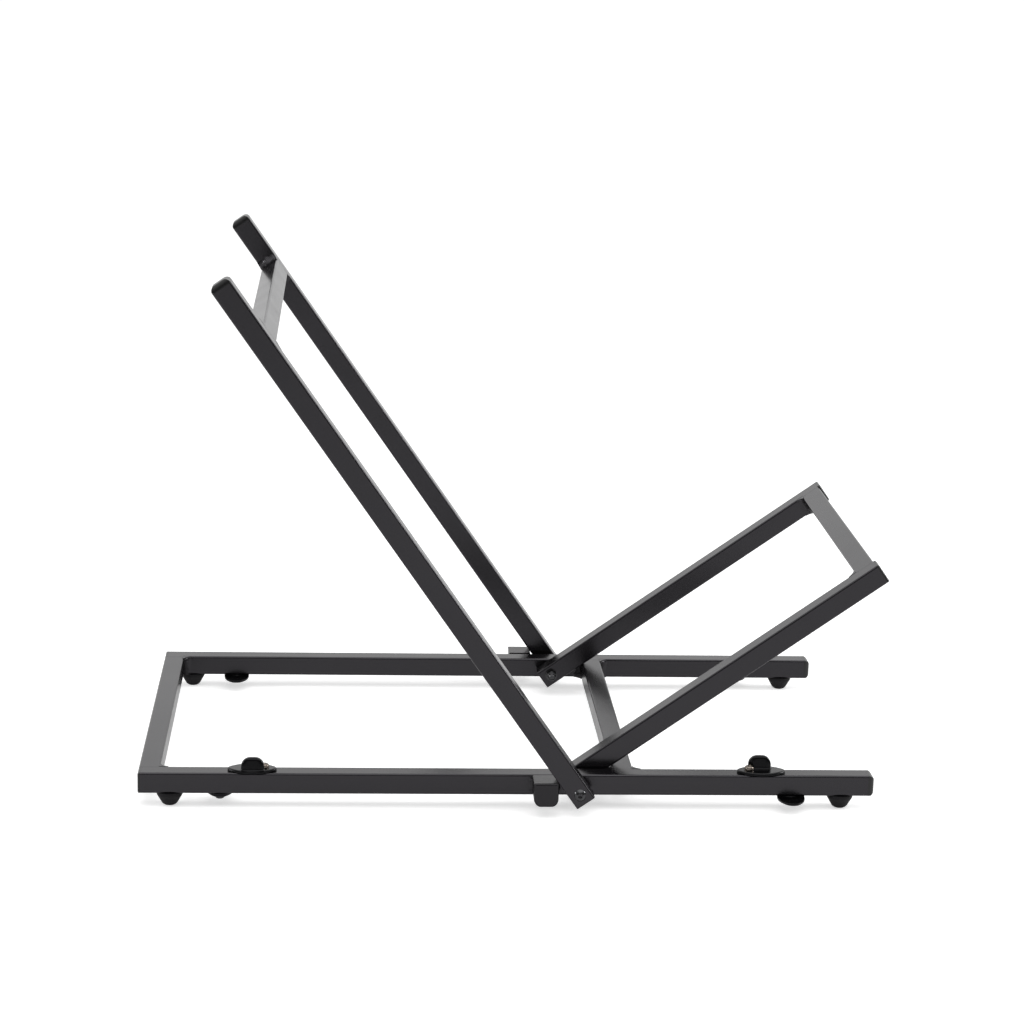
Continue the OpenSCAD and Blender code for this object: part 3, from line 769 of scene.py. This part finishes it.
def on_axis(rings_r, rings_z, angle, seat, axis):
    """Surface of rings about an axis, where rings_r[ring, place] and rings_z[ring, place]."""
    way = np.cos(angle)[:, None]*UP + np.sin(angle)[:, None]*np.cross(axis, UP)
    return seat + rings_z[..., None]*axis + rings_r[..., None]*way


def button_bolt(head_seat, axis, long):
    """Button-head bolt with its head standing on head_seat. Rings run from the socket's
    floor up its hexagonal wall, whose radius fades into a circle at the rim, over the crown,
    a circle through the head's edge and top, and down the shank. The thread's radius is cut
    by a wave whose height follows (z/pitch - angle/turn), and ends in a bevel."""
    angle = around(SCREW_POINTS)
    crown_r = (BUTTON_R**2 + BUTTON_H**2)/(2*BUTTON_H)
    dome_r = np.linspace(CROWN_FROM_R, BUTTON_R - 0.1*mm, 16)
    dome_z = BUTTON_H - crown_r + np.sqrt(crown_r**2 - dome_r**2)
    rim_z = dome_z[0]
    floor = BUTTON_H - SOCKET_DEEP
    hexed = hexagon(SOCKET_HALF, angle)
    socket_r = np.array([0.03, 0.5, 0.97, 1.0, 1.0, 1.03])[:, None]*hexed
    socket_z = np.array([
        floor - 0.5*mm, floor - 0.25*mm, floor, floor + 0.05*mm, rim_z - 0.2*mm, rim_z - 0.12*mm,
    ])
    lip_r = 0.5*(1.03*hexed + SOCKET_LIP_R)
    shank_z = -np.linspace(0.05*mm, long - BOLT_TIP, THREAD_RINGS)
    round_r = np.concatenate([
        dome_r, [BUTTON_R, BUTTON_R, BOLT_R], np.full(THREAD_RINGS, BOLT_R), [BOLT_R - BOLT_TIP],
    ])
    radius = np.concatenate([socket_r, [lip_r], np.repeat(round_r[:, None], SCREW_POINTS, 1)])
    height = np.concatenate([
        socket_z, [rim_z - 0.03*mm], dome_z, [0.12*mm, 0.0, 0.0], shank_z, [-long],
    ])
    z = height[:, None] + 0*radius
    wave = np.abs((z/THREAD_PITCH - angle/TAU) % 1 - 0.5)*2
    threaded = (height < THREAD_LONG - long) & (height > -long)
    return skin(on_axis(radius - THREAD_DEEP*wave*threaded[:, None], z, angle, head_seat, axis))


def lock_nut(seat, axis):
    """Lock nut that lies on seat, with its collar at the far end of the axis. A 30 degree
    chamfer turns off the hexagon's corners: r is at most a limit that grows with the
    distance to the nearer face times tan 60. The collar is rolled inwards in a small round."""
    angle = around(SCREW_POINTS)
    bevel = np.linspace(0, 0.4*mm, 5)
    to_face = np.concatenate([bevel, bevel[::-1]])
    limit = 1.02*NUT_HALF + to_face*math.tan(math.radians(60))
    hex_r = np.minimum(hexagon(NUT_HALF, angle), limit[:, None])
    hex_z = np.concatenate([bevel, NUT_HEX_H - bevel[::-1]])
    collar = np.concatenate([
        [(NUT_COLLAR_R, NUT_HEX_H)],
        arc(NUT_COLLAR_R - NUT_ROLL_R, NUT_H - NUT_ROLL_R, NUT_ROLL_R, 0, 80, 7),
        [(2.75*mm, NUT_H - 0.15*mm), (2.55*mm, NUT_H - 0.4*mm), (BOLT_R, 0)],
    ])
    rings_r = np.concatenate([hex_r, np.repeat(collar[:, :1], SCREW_POINTS, 1)])
    rings_z = np.concatenate([hex_z, collar[:, 1]])[:, None] + 0*rings_r
    return skin(on_axis(rings_r, rings_z, angle, seat, axis), looped=True)


def nut_insert(seat, axis):
    """The nylon ring inside a lock nut's collar, with small bevels at its outer face."""
    inner, outer, low, shoulder, high = BOLT_R, 3*mm, 4*mm, 4.75*mm, 4.86*mm
    profile = np.array([
        (inner, low), (outer, low), (outer, shoulder), (outer - 0.15*mm, high),
        (inner + 0.1*mm, high), (inner, shoulder),
    ])
    return turned(profile, seat, axis, looped=True)


def turned_nylon():
    """Black nylon: turned smooth, a shade lighter than the coating, with a fine grain."""
    finish = Finish("turned_nylon")
    grain = finish.noise(0.5*mm, 3)
    return finish.shade(
        Base_Color=finish.between((0.008, 0.008, 0.0085), (0.014, 0.014, 0.0145), grain),
        Roughness=0.34 + 0.1*grain,
        IOR=1.53,
        Normal=finish.relief(grain, 0.01*mm),
    )


black_nylon = turned_nylon()
for side, sign in SIDES.items():
    axis = sign*ACROSS
    low, high = node_box(f"pivot_bolt_{side}")
    middle = (low + high)/2*(FORWARD + UP)
    inner_end, outer_end = sorted([abs(low[1]), abs(high[1])])
    under_head = outer_end - BUTTON_H
    bolt = button_bolt(middle + under_head*axis, axis, under_head - inner_end)
    piece(f"button_bolt_{side}", [bolt], "base", black_oxide,
          (f"pivot_bolt_{side}",))
    low, high = node_box(f"lock_nut_{side}")
    nut_seat = middle + max(abs(low[1]), abs(high[1]))*axis
    piece(f"hex_lock_nut_{side}", [lock_nut(nut_seat, -axis)], "base", black_oxide,
          (f"lock_nut_{side}",))
    piece(f"nut_insert_{side}", [nut_insert(nut_seat, -axis)], "base", black_nylon)
    coat(frame["nodes"][f"nut_washer_{side}"], black_oxide)
    for name in (f"pivot_spacer_{side}", f"pivot_washer_{side}"):
        coat(frame["nodes"][name], black_nylon)

# -------------------------------------------------------------------------------- studio
# A plain white sweep: a matt floor that keeps the stand's soft shadow, under an even white
# sky, with a large soft box overhead and two small ones at the ends. In reflections alone
# the floor at the stand and the room behind the camera are dark, as in a real studio.
FLOOR_R = 30.0
FLOOR_GREY = 0.8
NEAR_GLOW = 0.55
NEAR_MIRRORED = 0.14
FAR_GLOW = 0.60
SKY_LIGHT = 0.55
DARK_ROOM = 0.85
LAMPS_AIM_AT = (0, 0, 0.15)


def ray(nodes, kind):
    """1 where the light path is of that kind: Camera, Glossy or Transmission."""
    return nodes.node("ShaderNodeLightPath", {}, {}, f"Is {kind} Ray")


def ramp(nodes, value, low, high):
    """0 where the value is at low and 1 where it is at high, along a smooth step."""
    return nodes.node("ShaderNodeMapRange", {"interpolation_type": "SMOOTHSTEP"}, {
        "Value": value, "From Min": low, "From Max": high,
    })


def white_floor():
    """A matt floor that glows a little, more so far out where it gets less lamp light, so that
    it reads white. Mirrored, it is dark round the stand and fades out behind the camera."""
    sweep = Finish("studio_sweep")
    from_middle = sweep.node("ShaderNodeVectorMath", {"operation": "LENGTH"},
                             {0: sweep.place}, "Value")
    depth = sweep.node("ShaderNodeSeparateXYZ", {}, {0: sweep.place}, "Y")
    seen = NEAR_GLOW + (FAR_GLOW - NEAR_GLOW)*ramp(sweep, from_middle, 0.3, 3.0)
    mirrored = NEAR_MIRRORED + (FAR_GLOW - NEAR_MIRRORED)*ramp(sweep, from_middle, 0.8, 3.6)
    in_room = ramp(sweep, depth, -4.5, -1.5)
    return sweep.shade(
        Base_Color=(FLOOR_GREY, FLOOR_GREY, FLOOR_GREY, 1),
        Roughness=1.0,
        Specular_IOR_Level=0.0,
        Emission_Color=seen*ray(sweep, "Camera") + mirrored*in_room*ray(sweep, "Glossy")
        + mirrored*ray(sweep, "Transmission"),
        Emission_Strength=1.0,
    )


turn = around(128)
rim = FLOOR_R*np.stack([np.cos(turn), np.sin(turn), 0*turn], -1)
floor_mesh = bpy.data.meshes.new("studio_floor")
floor_mesh.from_pydata(rim.tolist(), [], [list(range(len(rim)))])
floor_mesh.materials.append(white_floor())
floor = bpy.data.objects.new("studio_floor", floor_mesh)
bpy.context.collection.objects.link(floor)


def white_sky():
    """An even sky: white to the camera, dimmer as a light. In reflections it is dark towards
    the camera's side, fully up to 27 degrees above the floor and not at all above 51."""
    sky = bpy.data.worlds.new("studio_sky")
    sky.use_nodes = True
    nodes = Nodes(sky.node_tree)
    direction = nodes.node("ShaderNodeTexCoord", {}, {}, "Generated")
    depth = nodes.node("ShaderNodeSeparateXYZ", {}, {0: direction}, "Y")
    height = nodes.node("ShaderNodeSeparateXYZ", {}, {0: direction}, "Z")
    dark = DARK_ROOM*ramp(nodes, height, 0.78, 0.45)*ramp(nodes, depth, 0.45, 0.0)
    rest = 1 - SKY_LIGHT
    background = sky.node_tree.nodes["Background"]
    nodes.feed(background.inputs["Color"], (1, 1, 1, 1))
    nodes.feed(background.inputs["Strength"], (
        SKY_LIGHT + rest*ray(nodes, "Camera") + (rest - dark)*ray(nodes, "Glossy")
        + rest*ray(nodes, "Transmission")
    ))
    return sky


bpy.context.scene.world = white_sky()


def soft_box(name, place, side, power):
    """A square lamp that faces the middle of the stand."""
    lamp = bpy.data.lights.new(name, "AREA")
    lamp.shape = "SQUARE"
    lamp.size = side
    lamp.energy = power
    holder = bpy.data.objects.new(name, lamp)
    bpy.context.collection.objects.link(holder)
    holder.location = place
    aim = Vector(LAMPS_AIM_AT) - Vector(place)
    holder.rotation_euler = aim.to_track_quat("-Z", "Y").to_euler()


soft_box("overhead_box", (0.2, -0.4, 2.4), 3.0, 32)
soft_box("side_box_front", (2.25, 0.1, 1.15), 0.7, 24)
soft_box("side_box_rear", (-2.3, -0.3, 0.8), 0.6, 16)
